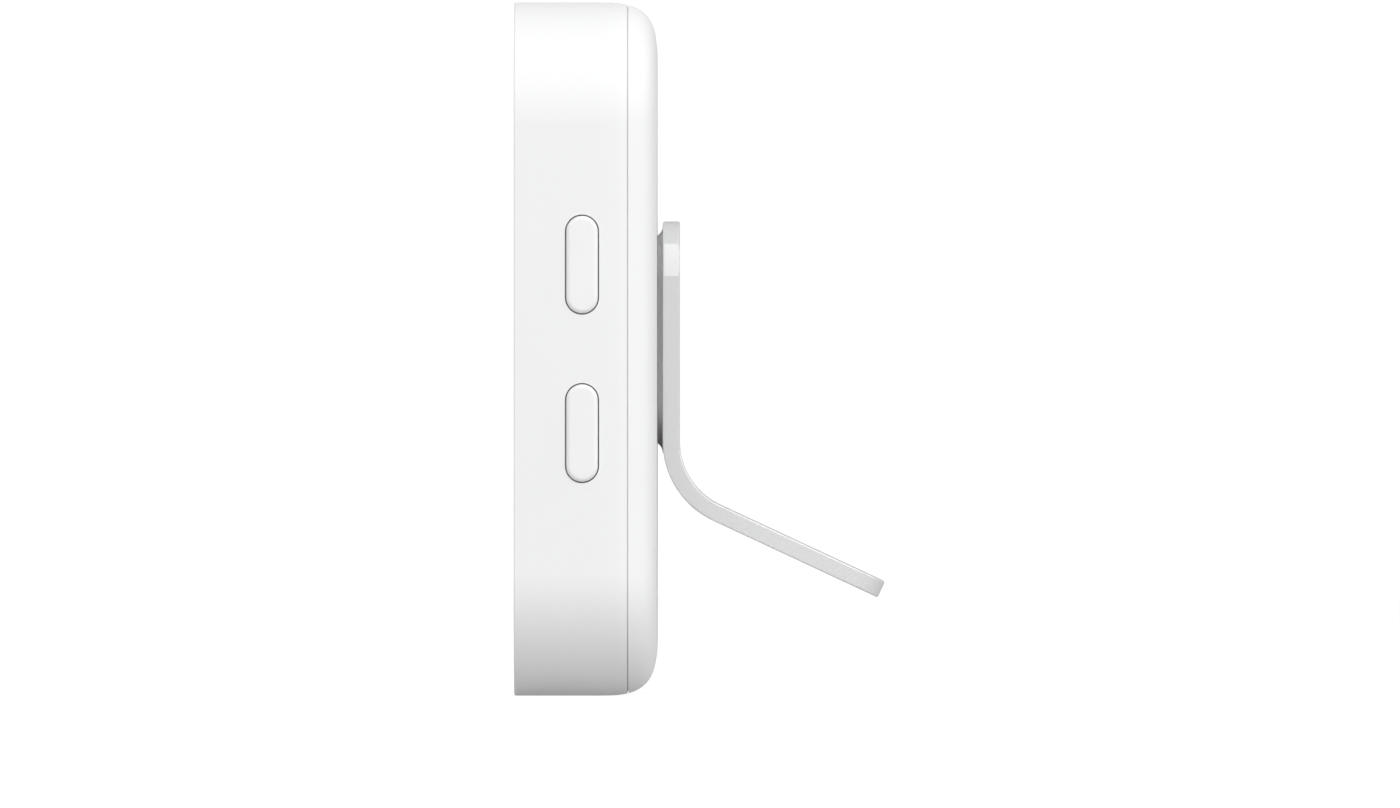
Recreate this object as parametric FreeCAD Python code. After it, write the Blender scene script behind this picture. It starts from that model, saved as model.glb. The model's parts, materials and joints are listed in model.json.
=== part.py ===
import FreeCAD, Part
import math
import os

from FreeCAD import Vector

# Video doorbell indoor station: a soft-cornered slab with a glass front, two side keys and a
# bent desk stand hooked onto its back.  Millimetres.  +X is the key side, -Y the glass front,
# +Z up.  The origin is the middle of the underside.  "Depth" is measured from the front face.

# ---- body ----
BODY_W = 128.0
BODY_H = 116.0
BODY_D = 23.9
CORNER_R = 20.0
FRONT_EDGE_R = 0.3
MID_Z = BODY_H / 2
ROLL = 9.5              # reach of the rear edge's soft round, both ways
ROLL_NEAR = 0.35        # its curve handles, as shares of that reach
ROLL_FAR = 0.774
SEAM_D = 19.0
SEAM_GAP = 0.2
SEAM_DEPTH = 0.8
WALL = 2.0
BACK_D = BODY_D - WALL  # inner face of the rear cover
TINY = 0.001
SNAP = 0.01

# ---- glass front ----
RIM = 2.2
GLASS_D = 0.1
GLASS_T = 1.1
MASK_T = 0.05
LEDGE_D = 1.5
LEDGE_T = 1.5
LEDGE_REACH = 4.6
PART_GAP = 0.1
GLASS_EDGE_R = 0.25
VIEW_W = 106.0
VIEW_H = 62.0
VIEW_Z = 72.0

# ---- display ----
VIEW_CORNER_R = 1.5
DISPLAY_W = 111.0
DISPLAY_H = 70.0
DISPLAY_Z = 70.0
DISPLAY_D = 1.35
CELL_T = 1.2
BACKLIGHT_T = 1.8
TRAY_WALL = 0.5
DISPLAY_FLEX_X = (22.0, 34.0)
DISPLAY_FLEX_D = (3.2, 6.6)

# ---- camera ----
EYE_Z = 108.3
EYE_R = 2.8
EYE_WINDOW_R = 1.7
LENS_R = 1.3
GASKET_T = 0.5
BARREL_D = 1.75
SENSOR_D = 4.7
SENSOR_HALF = 3.4
EYE_BOARD_D = 5.8
EYE_BOARD_W = 12.0
EYE_BOARD_H = 7.6
EYE_BOARD_T = 0.6

# ---- call button ----
CALL_Z = 21.0
CALL_R = 9.7
CALL_RING_IN = 9.9
CALL_RING_OUT = 10.8
CALL_RING_BACK = 3.1
CALL_HOLE_R = 10.9
CALL_SKIRT_BACK = 3.3
CALL_FLANGE_R = 10.6
CALL_FLANGE_BACK = 3.9
CALL_POST_BACK = 4.0
CALL_HOLLOW_D = 1.7
CALL_DISH_R = 90.0
CALL_DISH_T = 0.35
CALL_SCREW_X = 13.8
CALL_SCREW_DZ = 12.4
BELL_D = (0.5, 1.0)
SWITCH_D = 4.7
LED_COUNT = 8
LED_CIRCLE_R = 12.0
LED_SIZE = 1.6
LED_T = 0.7

# ---- side keys ----
PLUNGER_R = 0.8
KEY_D = 11.4
KEY_PITCH = 28.1
KEY_HOLE_W = 5.7
KEY_HOLE_H = 16.7
KEY_CAP_W = 5.3
KEY_CAP_H = 16.3
KEY_PROUD = 0.5
KEY_EDGE_R = 0.75
KEY_FLANGE_T = 1.0
KEY_FLANGE_REACH = 1.0
KEY_NUB_X = BODY_W / 2 - WALL - 1.6
KEY_SWITCH_T = 2.0
KEY_BOARD_X = 56.9
KEY_BOARD_T = 1.0
KEY_BOARD_D = (7.05, 15.8)
KEY_BOARD_HALF = 25.4

# ---- inner plates and boards ----
PLATE_D = 4.5
PLATE_T = 1.2
PLATE_BACK = PLATE_D + PLATE_T
BOARD_D = 7.2
BOARD_T = 1.0
BOARD_BACK = BOARD_D + BOARD_T
BOARD_W = 92.0
BOARD_H = 60.0
BOARD_Z = 67.0
FLEX_T = 0.15
LEAD_T = 1.0
EYE_FLEX_X = (-3.0, 3.0)
CALL_FLEX_X = (3.0, 9.0)
SOCKET_FLEX_X = (-5.0, 5.0)
SCREW_HOLE_R = 1.0
PILOT_R = 0.85
PLATE_W = 122.0
PLATE_H = 106.0
PLATE_CORNER_R = 14.0
PLATE_SCREW_X = 59.0
PLATE_SCREW_DZ = 20.0
BOARD_SCREW_INSET = 4.0
CHIP_T = 1.0
LEAD_SOCKET_T = 1.8

# ---- battery ----
CRADLE_D = 10.0
CRADLE_BACK = 18.6
CRADLE_W = 92.0
CRADLE_H = 48.0
CRADLE_Z = 74.0
CRADLE_WALL = 1.4
CRADLE_FLOOR = 1.0
BATTERY_T = 6.9
BATTERY_GAP = 0.4
POST_X = 49.5
POST_DZ = 17.0
POST_R = 2.7
POST_BACK = 12.5
BATTERY_LEAD_X = (20.0, 24.0)

# ---- speaker ----
SPEAKER_X = -28.0
SPEAKER_W = 31.0
SPEAKER_D = 7.8
SPEAKER_BACK = 16.6
SPEAKER_Z = 4.2
SPEAKER_TOP = 30.0
BOX_WALL = 1.2
FRAME_INSET = 1.3
FRAME_WALL = 0.6
CONE_INSET = 2.0
HOLE_PITCH = 2.6
HOLE_ROWS = ((9.0, 9), (11.2, 10), (13.4, 9))
HOLE_R = 0.7
MESH_T = 0.25
SPEAKER_LEAD_X = (-21.0, -18.0)

# ---- microphone ----
MIC_X = 30.0
MIC_D = 9.0
MIC_HOLE_R = 0.6
MIC_BOOT_R = 2.2
MIC_BOOT_T = 1.2
MIC_T = 1.1
MIC_BOARD_T = 0.8

# ---- socket ----
SOCKET_Z = 15.0
SOCKET_W = 8.94
SOCKET_H = 3.26
SOCKET_L = 7.3
SOCKET_WALL = 0.3
SOCKET_END_T = 0.8
SOCKET_GAP = 0.5
SOCKET_MOUTH_D = 23.1
SOCKET_BOARD_Z = SOCKET_Z - SOCKET_H / 2 - BOARD_T
SOCKET_BOARD_D = (9.2, 21.0)
SOCKET_BOARD_HALF = 9.0

# ---- cover screws ----
PILLAR_X = 50.0
PILLAR_DZ = 44.0
PILLAR_R = 3.2
PILLAR_D = 6.5
PILLAR_BACK = 17.2
INSERT_R = 1.95
INSERT_BORE_R = 1.25
INSERT_D = 11.7
COVER_SEAT_D = 21.4
COVER_SCREW_TIP = 12.4
HEAD_HOLE_R = 2.5
LIP_D = 16.8
LIP_T = 1.0
LIP_GAP = 0.15

# ---- desk stand ----
STAND_W = 50.0
STAND_T = 2.9
STAND_GAP = 0.9
STAND_TOP = 79.5
STAND_CORNER_R = 9.2    # upper corners
STAND_TIP_R = 5.0       # corners of the leg's end
STAND_EDGE_R = 0.3
BEND_Z = 42.5
BEND_R = 11.8
BEND_TURN = 65.0
LEG_L = 30.5
PAD_W = 45.4
PAD_H = 35.0
PAD_Z = 59.67
PAD_CORNER_R = 6.9
PAD_CLEAR = 0.05
COVE_R = 1.9
HOOK_X = 14.0
HOOK_Z = 62.0
HOOK_DZ = 8.0
HOOK_NECK_W = 3.0
HOOK_NECK_H = 4.0
HOOK_HEAD_W = 7.0
HOOK_HEAD_T = 1.4
HOOK_TRAVEL = 6.0
FOOT_L = 6.0
FOOT_W = 36.0
FOOT_T = 0.8


# ---------------------------------------------------------------- helpers


def at(x, depth, z):
    """Point from a width position, a depth behind the front face and a height."""
    return Vector(x, depth - BODY_D / 2, z)


def outline(width, height, radius, depth, x=0.0, z=MID_Z):
    """Closed rounded rectangle, upright, at one depth."""
    arcs = []
    for index, (side_x, side_z) in enumerate([(1, 1), (-1, 1), (-1, -1), (1, -1)]):
        centre_x = x + side_x * (width / 2 - radius)
        centre_z = z + side_z * (height / 2 - radius)
        angles = [math.radians(90 * index + step) for step in (0, 45, 90)]
        arc = [at(centre_x + radius * math.cos(a), depth, centre_z + radius * math.sin(a)) for a in angles]
        arcs.append(arc)
    edges = []
    for arc, following in zip(arcs, arcs[1:] + arcs[:1]):
        edges.append(Part.Arc(*arc).toShape())
        if arc[2].distanceToPoint(following[0]) > TINY:
            edges.append(Part.makeLine(arc[2], following[0]))
    return Part.Wire(edges)


def slab(width, height, radius, front, back, x=0.0, z=MID_Z):
    """Upright rounded plate between two depths."""
    face = Part.Face(outline(width, height, radius, front, x, z))
    return face.extrude(Vector(0, back - front, 0))


def block(x0, x1, front, back, z0, z1):
    """Square-cornered box."""
    return Part.makeBox(x1 - x0, back - front, z1 - z0, at(x0, front, z0))


def disc(radius, front, back, x, z):
    """Cylinder lying along the depth."""
    return Part.makeCylinder(radius, back - front, at(x, front, z), Vector(0, 1, 0))


def ring(outer, inner, front, back, x, z):
    """Washer lying along the depth."""
    return disc(outer, front, back, x, z).cut(disc(inner, front, back, x, z))


def side_pill(width, height, x0, x1, z):
    """Full-round pill pointing out of the key side."""
    straight = (height - width) / 2
    radius = width / 2
    body = Part.makeBox(x1 - x0, width, 2 * straight, at(x0, KEY_D - radius, z - straight))
    for side in (-1, 1):
        end = Part.makeCylinder(radius, x1 - x0, at(x0, KEY_D, z + side * straight), Vector(1, 0, 0))
        body = body.fuse(end)
    return body.removeSplitter()


def prism(points, width):
    """Side outline of (depth, height) points, extruded evenly about the middle plane."""
    corners = [at(-width / 2, depth, z) for depth, z in points]
    face = Part.Face(Part.makePolygon(corners + corners[:1]))
    return face.extrude(Vector(width, 0, 0))


def screw(x, z, tip, seat, shaft_r, head_r, head_t):
    """Pan-head screw driven from behind, with a cross recess."""
    back = seat + head_t
    shape = disc(shaft_r, tip, seat, x, z).fuse(disc(head_r, seat, back, x, z))
    soft = 0.35
    slot_reach = 0.62
    slot_width = 0.14
    shape = shape.makeFillet(head_t * soft, edges_at(shape, back))
    long_half = head_r * slot_reach
    slot_half = head_r * slot_width
    floor = seat + head_t * soft
    for half_x, half_z in ((long_half, slot_half), (slot_half, long_half)):
        shape = shape.cut(block(x - half_x, x + half_x, floor, back, z - half_z, z + half_z))
    return shape


def ribbon(path, x0, x1, thickness=FLEX_T):
    """Flat flex or lead that follows (depth, height) points with square turns."""
    half = thickness / 2
    strip = None
    for (d0, z0), (d1, z1) in zip(path, path[1:]):
        span = block(x0, x1, min(d0, d1) - half, max(d0, d1) + half, min(z0, z1) - half, max(z0, z1) + half)
        strip = span if strip is None else strip.fuse(span)
    return strip.removeSplitter()


def joined(solids):
    """Separate solids kept in one node."""
    return Part.makeCompound(solids)


def fused(first, others):
    """One solid out of several."""
    return first.multiFuse(others).removeSplitter()


def around(half_width, middle_z, half_height):
    """Four (width, height) places at the corners of a rectangle."""
    heights = (middle_z - half_height, middle_z + half_height)
    return [(x, z) for x in (-half_width, half_width) for z in heights]


def edges_at(shape, depth):
    """Edges of a shape that lie wholly at one depth."""
    level = depth - BODY_D / 2
    near = level - SNAP
    far = level + SNAP
    return [edge for edge in shape.Edges if edge.BoundBox.YMin > near and edge.BoundBox.YMax < far]


KEY_ZS = (MID_Z + KEY_PITCH / 2, MID_Z - KEY_PITCH / 2)
GLASS_BACK = GLASS_D + GLASS_T
MASK_BACK = GLASS_BACK + MASK_T
CALL_BOARD_BACK = PLATE_BACK + BOARD_T
EYE_BOARD_BACK = EYE_BOARD_D + EYE_BOARD_T
BOARD_LOW = BOARD_Z - BOARD_H / 2
CHIP_D = BOARD_D - CHIP_T
LEAD_SOCKET_BACK = BOARD_BACK + LEAD_SOCKET_T
SPEAKER_MID_D = (SPEAKER_D + SPEAKER_BACK) / 2
MIC_BOARD_Z = WALL + MIC_BOOT_T + MIC_T
PILLARS = around(PILLAR_X, MID_Z, PILLAR_DZ)
PLATE_SCREWS = around(PLATE_SCREW_X, MID_Z, PLATE_SCREW_DZ)
BOARD_SCREWS = around(BOARD_W / 2 - BOARD_SCREW_INSET, BOARD_Z, BOARD_H / 2 - BOARD_SCREW_INSET)
CRADLE_POSTS = around(POST_X, CRADLE_Z, POST_DZ)
CALL_SCREWS = around(CALL_SCREW_X, CALL_Z, CALL_SCREW_DZ)
BEND_CENTRE_D = BODY_D + STAND_GAP + STAND_T + BEND_R
HOOKS = around(HOOK_X, HOOK_Z, HOOK_DZ)


# ---------------------------------------------------------------- casing


def body_blank():
    """Whole outer form: a prism with a small front edge and a soft, curvature-continuous rear edge."""
    start = BODY_D - ROLL
    prism_part = slab(BODY_W, BODY_H, CORNER_R, 0, start)
    prism_part = prism_part.makeFillet(FRONT_EDGE_R, edges_at(prism_part, 0))
    side = BODY_W / 2
    z = MID_Z + BODY_H / 2 - CORNER_R
    poles = [
        at(side, start, z),
        at(side, start + ROLL_NEAR * ROLL, z),
        at(side, start + ROLL_FAR * ROLL, z),
        at(side - (1 - ROLL_FAR) * ROLL, BODY_D, z),
        at(side - (1 - ROLL_NEAR) * ROLL, BODY_D, z),
        at(side - ROLL, BODY_D, z),
    ]
    curve = Part.BezierCurve()
    curve.setPoles(poles)
    corner = at(side - ROLL, start, z)
    edges = [curve.toShape(), Part.makeLine(poles[-1], corner), Part.makeLine(corner, poles[0])]
    section = Part.Face(Part.Wire(edges))
    edge_ring = outline(BODY_W, BODY_H, CORNER_R, start).makePipe(section)
    core = slab(BODY_W - 2 * ROLL, BODY_H - 2 * ROLL, CORNER_R - ROLL, start, BODY_D)
    return fused(prism_part, [edge_ring, core])


def inset_slab(inset, front, back):
    """Plate that follows the body's outline, a fixed distance inside it."""
    return slab(BODY_W - 2 * inset, BODY_H - 2 * inset, CORNER_R - inset, front, back)


def seam_groove():
    """Shadow line between the two halves of the casing."""
    front = SEAM_D - SEAM_GAP / 2
    back = SEAM_D + SEAM_GAP / 2
    around_body = slab(BODY_W + WALL, BODY_H + WALL, CORNER_R + WALL / 2, front, back)
    return around_body.cut(inset_slab(SEAM_DEPTH, front, back))


def corner_rib(x, z):
    """Diagonal web from a screw pillar to the casing's corner wall."""
    offset = math.hypot(PILLAR_X - BODY_W / 2 + CORNER_R, PILLAR_DZ - BODY_H / 2 + CORNER_R)
    reach = CORNER_R - WALL / 2 - offset
    thickness = 1.4
    lip_clear = 0.3
    back = LIP_D - lip_clear
    web = Part.makeBox(reach, back - PILLAR_D, thickness, at(0, PILLAR_D, -thickness / 2))
    quadrant = math.floor(math.degrees(math.atan2(z - MID_Z, x)) / 90)
    web.rotate(Vector(0, 0, 0), Vector(0, 1, 0), -(45 + 90 * quadrant))
    web.translate(Vector(x, 0, z))
    return web


def front_housing(blank):
    """Front half of the casing, with the glass seat, screw pillars, bosses and key holes."""
    ledge_back = LEDGE_D + LEDGE_T
    shape = blank.common(slab(BODY_W + WALL, BODY_H + WALL, CORNER_R, 0, SEAM_D))
    shape = shape.cut(inset_slab(RIM, -WALL, LEDGE_D))
    shape = shape.cut(inset_slab(LEDGE_REACH, LEDGE_D, ledge_back))
    shape = shape.cut(inset_slab(WALL, ledge_back, SEAM_D))
    shape = shape.cut(seam_groove())
    boss_r = 2.4
    pillars = [disc(PILLAR_R, PILLAR_D, PILLAR_BACK, x, z) for x, z in PILLARS]
    ribs = [corner_rib(x, z) for x, z in PILLARS]
    bosses = [disc(boss_r, LEDGE_D + PART_GAP, PLATE_D, x, z) for x, z in PLATE_SCREWS]
    shape = fused(shape, pillars + ribs + bosses + key_board_guides())
    insert_gap = 0.02
    insert_floor = 0.2
    for x, z in PILLARS:
        shape = shape.cut(disc(INSERT_R + insert_gap, INSERT_D - insert_floor, PILLAR_BACK, x, z))
    screw_floor = 0.6
    for x, z in PLATE_SCREWS:
        shape = shape.cut(disc(SCREW_HOLE_R, LEDGE_D + screw_floor, PLATE_D, x, z))
    for z in KEY_ZS:
        shape = shape.cut(side_pill(KEY_HOLE_W, KEY_HOLE_H, BODY_W / 2 - 2 * WALL, BODY_W / 2 + WALL, z))
    for x, depth, radius in sound_holes():
        shape = shape.cut(Part.makeCylinder(radius, 3 * WALL, at(x, depth, -WALL), Vector(0, 0, 1)))
    return shape


def sound_holes():
    """(x, depth, radius) of the speaker's holes and the microphone's hole in the underside."""
    holes = [(MIC_X, MIC_D, MIC_HOLE_R)]
    for depth, count in HOLE_ROWS:
        for index in range(count):
            holes.append((SPEAKER_X + (index - (count - 1) / 2) * HOLE_PITCH, depth, HOLE_R))
    return holes


def key_board_guides():
    """Two grooved ribs on the key-side wall that hold the key board."""
    rib_x = 55.5
    rib_front = 7.0
    rib_back = 16.0
    overlap = 1.1
    thickness = 2.5
    slack = 0.05
    side_slack = 0.08
    past = 1.0
    guides = []
    for side in (-1, 1):
        near = MID_Z + side * (KEY_BOARD_HALF - overlap)
        far = near + side * thickness
        groove_end = MID_Z + side * (KEY_BOARD_HALF + slack)
        rib = block(rib_x, BODY_W / 2 - WALL / 2, rib_front, rib_back, min(near, far), max(near, far))
        groove = block(KEY_BOARD_X - side_slack, KEY_BOARD_X + KEY_BOARD_T + side_slack, rib_front - past,
                       rib_back + past, min(near, groove_end), max(near, groove_end))
        guides.append(rib.cut(groove))
    return guides


def rear_cover(blank):
    """Rear half of the casing: a shallow tray with a locating lip, screw bosses and keyhole slots."""
    shape = blank.common(slab(BODY_W + WALL, BODY_H + WALL, CORNER_R, SEAM_D, BODY_D))
    cavity = inset_slab(WALL, SEAM_D, BACK_D)
    cavity_round = 2.6
    shape = shape.cut(cavity.makeFillet(cavity_round, edges_at(cavity, BACK_D)))
    shape = shape.cut(seam_groove())
    lip_out = WALL + LIP_GAP
    root_t = 0.6
    root_d = SEAM_D + root_t
    lip = inset_slab(lip_out, LIP_D, SEAM_D).cut(inset_slab(lip_out + LIP_T, LIP_D, SEAM_D))
    root = inset_slab(WALL, SEAM_D, root_d).cut(inset_slab(lip_out + LIP_T, SEAM_D, root_d))
    boss_r = 3.6
    bosses = [disc(boss_r, PILLAR_BACK + PART_GAP, BACK_D + PART_GAP, x, z) for x, z in PILLARS]
    shape = fused(shape, [lip, root] + bosses + socket_guides())
    shaft_hole_r = 1.5
    for x, z in PILLARS:
        shape = shape.cut(disc(shaft_hole_r, PILLAR_BACK, COVER_SEAT_D, x, z))
        shape = shape.cut(disc(HEAD_HOLE_R, COVER_SEAT_D, BODY_D + WALL, x, z))
    for x, z in HOOKS:
        shape = shape.cut(keyhole(x, z))
    finger_w = 3.6
    finger_h = 3.2
    shape = shape.cut(socket_pill(SOCKET_GAP, SOCKET_GAP, SEAM_D, BODY_D + WALL))
    return shape.cut(socket_pill(finger_w, finger_h, SOCKET_MOUTH_D, BODY_D + WALL))


def socket_pill(wider, taller, front, back):
    """Full-round slab round the charging socket, that much larger than it."""
    height = SOCKET_H + taller
    return slab(SOCKET_W + wider, height, height / 2 - TINY, front, back, z=SOCKET_Z)


def keyhole(x, z):
    """Slot for a stand hook, with the wide mouth one travel below the hook."""
    neck_slack = 0.4
    head_slack = 0.8
    slot_w = HOOK_NECK_W + neck_slack
    mouth_w = HOOK_HEAD_W + head_slack
    above = 0.2
    below = 0.5
    top = z + HOOK_NECK_H / 2 + above
    mouth_half = HOOK_NECK_H / 2 + below
    mouth_z = z - HOOK_TRAVEL
    front = BACK_D - WALL / 2
    back = BODY_D + WALL
    slot = block(x - slot_w / 2, x + slot_w / 2, front, back, mouth_z, top)
    mouth = block(x - mouth_w / 2, x + mouth_w / 2, front, back, mouth_z - mouth_half, mouth_z + mouth_half)
    return slot.fuse(mouth)


def socket_guides():
    """Grooved ribs on the rear cover that hold the socket board."""
    rib_front = 17.3
    rib_rise = 2.4
    rib_low = SOCKET_BOARD_Z - BOARD_T / 2
    rib_high = SOCKET_BOARD_Z + rib_rise
    overlap = 0.6
    thickness = 2.4
    slack = 0.05
    past = 1.0
    guides = []
    for side in (-1, 1):
        near = side * (SOCKET_BOARD_HALF - overlap)
        far = near + side * thickness
        low, high = sorted((near, far))
        rib = block(low, high, rib_front, BACK_D + PART_GAP, rib_low, rib_high)
        low, high = sorted((near, side * (SOCKET_BOARD_HALF + slack)))
        groove = block(low, high, rib_front - past, SOCKET_BOARD_D[1] + slack, SOCKET_BOARD_Z - slack,
                       SOCKET_BOARD_Z + BOARD_T + slack)
        guides.append(rib.cut(groove))
    return guides


def cover_screws():
    """The four screws that hold the rear cover."""
    shaft_r = 1.2
    head_r = 2.2
    head_t = 1.5
    return joined([screw(x, z, COVER_SCREW_TIP, COVER_SEAT_D, shaft_r, head_r, head_t) for x, z in PILLARS])


def screw_inserts():
    """Brass threaded inserts in the pillars."""
    return joined([ring(INSERT_R, INSERT_BORE_R, INSERT_D, PILLAR_BACK, x, z) for x, z in PILLARS])


# ---------------------------------------------------------------- glass front


def cover_glass():
    """Front glass with a hole for the call button."""
    shape = inset_slab(RIM + PART_GAP, GLASS_D, GLASS_BACK)
    shape = shape.cut(disc(CALL_HOLE_R, 0, LEDGE_D, 0, CALL_Z))
    return shape.makeFillet(GLASS_EDGE_R, edges_at(shape, GLASS_D))


def glass_border_print():
    """Opaque border printed on the back of the glass, with clear windows."""
    shape = inset_slab(RIM + PART_GAP, GLASS_BACK, MASK_BACK)
    shape = shape.cut(slab(VIEW_W, VIEW_H, VIEW_CORNER_R, GLASS_BACK, MASK_BACK, z=VIEW_Z))
    shape = shape.cut(disc(CALL_HOLE_R, GLASS_BACK, MASK_BACK, 0, CALL_Z))
    return shape.cut(disc(EYE_WINDOW_R, GLASS_BACK, MASK_BACK, 0, EYE_Z))


def glass_adhesive():
    """Adhesive frame between glass and housing."""
    outer = inset_slab(RIM + 2 * PART_GAP, MASK_BACK, LEDGE_D)
    return outer.cut(inset_slab(LEDGE_REACH - PART_GAP, MASK_BACK, LEDGE_D))


def display_panel():
    """Liquid-crystal cell, behind the glass."""
    margin = TRAY_WALL + PART_GAP
    back = DISPLAY_D + CELL_T
    return slab(DISPLAY_W - 2 * margin, DISPLAY_H - 2 * margin, margin, DISPLAY_D, back, z=DISPLAY_Z)


def display_backlight():
    """Backlight unit in its folded steel tray, whose low walls surround the cell."""
    cell_back = DISPLAY_D + CELL_T
    corner = 2 * TRAY_WALL
    lowered = 2 * PART_GAP
    inner_w = DISPLAY_W - 2 * TRAY_WALL
    inner_h = DISPLAY_H - 2 * TRAY_WALL
    tray = slab(DISPLAY_W, DISPLAY_H, corner, DISPLAY_D + lowered, cell_back + BACKLIGHT_T, z=DISPLAY_Z)
    return tray.cut(slab(inner_w, inner_h, TRAY_WALL, DISPLAY_D, cell_back, z=DISPLAY_Z))


def display_flex():
    """Flex from the display's lower edge, through the chassis plate, to the main board."""
    drop = 2.0
    overlap = 5.0
    start = DISPLAY_Z - DISPLAY_H / 2 - FLEX_T / 2
    low = start - drop
    front, back = DISPLAY_FLEX_D
    top = BOARD_LOW + overlap
    return ribbon([(front, start), (front, low), (back, low), (back, top)], *DISPLAY_FLEX_X)


# ---------------------------------------------------------------- camera


def camera_gasket():
    """Foam ring that keeps dust off the lens."""
    return ring(EYE_R, EYE_WINDOW_R + 2 * PART_GAP, MASK_BACK, MASK_BACK + GASKET_T, 0, EYE_Z)


def camera_barrel():
    """Lens barrel on its square sensor housing."""
    half = SENSOR_HALF
    shape = disc(EYE_R, BARREL_D, SENSOR_D, 0, EYE_Z)
    shape = shape.fuse(block(-half, half, SENSOR_D, EYE_BOARD_D, EYE_Z - half, EYE_Z + half))
    mouth_r = 1.9
    throat_r = 1.1
    cone_t = 1.2
    shape = shape.cut(Part.makeCone(mouth_r, throat_r, cone_t, at(0, BARREL_D, EYE_Z), Vector(0, 1, 0)))
    seat_slack = 0.05
    filter_t = 0.5
    seat = disc(LENS_R + seat_slack, BARREL_D + cone_t - PART_GAP, SENSOR_D - filter_t, 0, EYE_Z)
    return shape.cut(seat).removeSplitter()


def camera_lens():
    """Front lens element, domed towards the glass."""
    dome_r = 2.4
    recess = 1.2
    front = BARREL_D + recess
    thickness = 1.15
    dome = Part.makeSphere(dome_r, at(0, front + dome_r, EYE_Z))
    return dome.common(disc(LENS_R, front, front + thickness, 0, EYE_Z))


def camera_board():
    """Small board that carries the camera."""
    corner = 0.8
    return slab(EYE_BOARD_W, EYE_BOARD_H, corner, EYE_BOARD_D, EYE_BOARD_D + EYE_BOARD_T, z=EYE_Z)


# ---------------------------------------------------------------- call button


def call_button():
    """Round cap with a shallow dish, a catch flange and a pressing post; a bell is let into it."""
    edge_r = 0.4
    hollow_r = 8.5
    post_r = 1.6
    shape = disc(CALL_R, GLASS_D, CALL_SKIRT_BACK, 0, CALL_Z)
    shape = shape.fuse(disc(CALL_FLANGE_R, CALL_SKIRT_BACK, CALL_FLANGE_BACK, 0, CALL_Z))
    shape = shape.makeFillet(edge_r, edges_at(shape, GLASS_D))
    shape = shape.cut(Part.makeSphere(CALL_DISH_R, at(0, GLASS_D + CALL_DISH_T - CALL_DISH_R, CALL_Z)))
    shape = shape.cut(disc(hollow_r, CALL_HOLLOW_D, CALL_FLANGE_BACK, 0, CALL_Z))
    shape = shape.fuse(disc(post_r, CALL_HOLLOW_D, CALL_POST_BACK, 0, CALL_Z)).removeSplitter()
    return shape.cut(bell_outline(GLASS_D, BELL_D[1]))


def bell_outline(front, back):
    """Plain bell: a domed body on a flared lip, with a round clapper below."""
    z = CALL_Z
    waist_w = 2.3
    shoulder_w = 2.1
    flare_w = 2.7
    lip_w = 3.6
    crown = z + 3.3
    shoulder_z = z + 1.9
    waist_z = z - 0.6
    flare_z = z - 1.7
    foot = z - 2.4
    waist = at(-waist_w, front, waist_z)
    dome = [waist, at(-shoulder_w, front, shoulder_z), at(0, front, crown)]
    flare = [waist, at(-flare_w, front, flare_z), at(-lip_w, front, foot)]
    mirrored = [[Vector(-p.x, p.y, p.z) for p in arc] for arc in (dome, flare)]
    edges = [Part.Arc(*arc).toShape() for arc in [dome, flare] + mirrored]
    edges.append(Part.makeLine(at(-lip_w, front, foot), at(lip_w, front, foot)))
    wire = Part.Wire(Part.__sortEdges__(edges))
    bell = Part.Face(wire).extrude(Vector(0, back - front, 0))
    clapper_r = 1.15
    clapper_gap = 0.35
    clapper_drop = 0.8
    clapper = disc(clapper_r, front, back, 0, foot - clapper_drop)
    upper_half = block(-lip_w, lip_w, front - 1, back + 1, foot - clapper_gap, crown)
    return joined([bell, clapper.cut(upper_half)])


def bell_symbol():
    """Translucent bell inlay, level with the dish."""
    return bell_outline(*BELL_D)


def call_light_ring():
    """Translucent ring round the button, with a flange behind the glass."""
    flange_r = 12.6
    flange_back = 2.2
    shape = ring(CALL_RING_OUT, CALL_RING_IN, GLASS_D, CALL_RING_BACK, 0, CALL_Z)
    return shape.fuse(ring(flange_r, CALL_RING_IN, MASK_BACK, flange_back, 0, CALL_Z)).removeSplitter()


def call_plunger():
    """Switch plunger, carried by the button's post."""
    inside = 0.3
    return disc(PLUNGER_R, CALL_POST_BACK, SWITCH_D + inside, 0, CALL_Z)


def call_switch():
    """Push switch under the call button."""
    side = 4.8
    corner = 0.4
    body = slab(side, side, corner, SWITCH_D, PLATE_BACK, z=CALL_Z)
    return body.cut(disc(PLUNGER_R + PART_GAP, SWITCH_D, PLATE_BACK - PART_GAP, 0, CALL_Z))


def call_board():
    """Board behind the call button."""
    width = 32.0
    height = 29.0
    corner = 1.5
    board = slab(width, height, corner, PLATE_BACK, CALL_BOARD_BACK, z=CALL_Z)
    holes = [disc(SCREW_HOLE_R, PLATE_BACK, CALL_BOARD_BACK, x, z) for x, z in CALL_SCREWS]
    return board.cut(joined(holes))


def ring_lights():
    """Light-emitting diodes that light the ring."""
    half = LED_SIZE / 2
    lights = []
    for index in range(LED_COUNT):
        angle = math.pi * (2 * index + 1) / LED_COUNT
        x = LED_CIRCLE_R * math.cos(angle)
        z = CALL_Z + LED_CIRCLE_R * math.sin(angle)
        lights.append(block(x - half, x + half, PLATE_BACK - LED_T, PLATE_BACK, z - half, z + half))
    return joined(lights)


# ---------------------------------------------------------------- side keys


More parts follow.
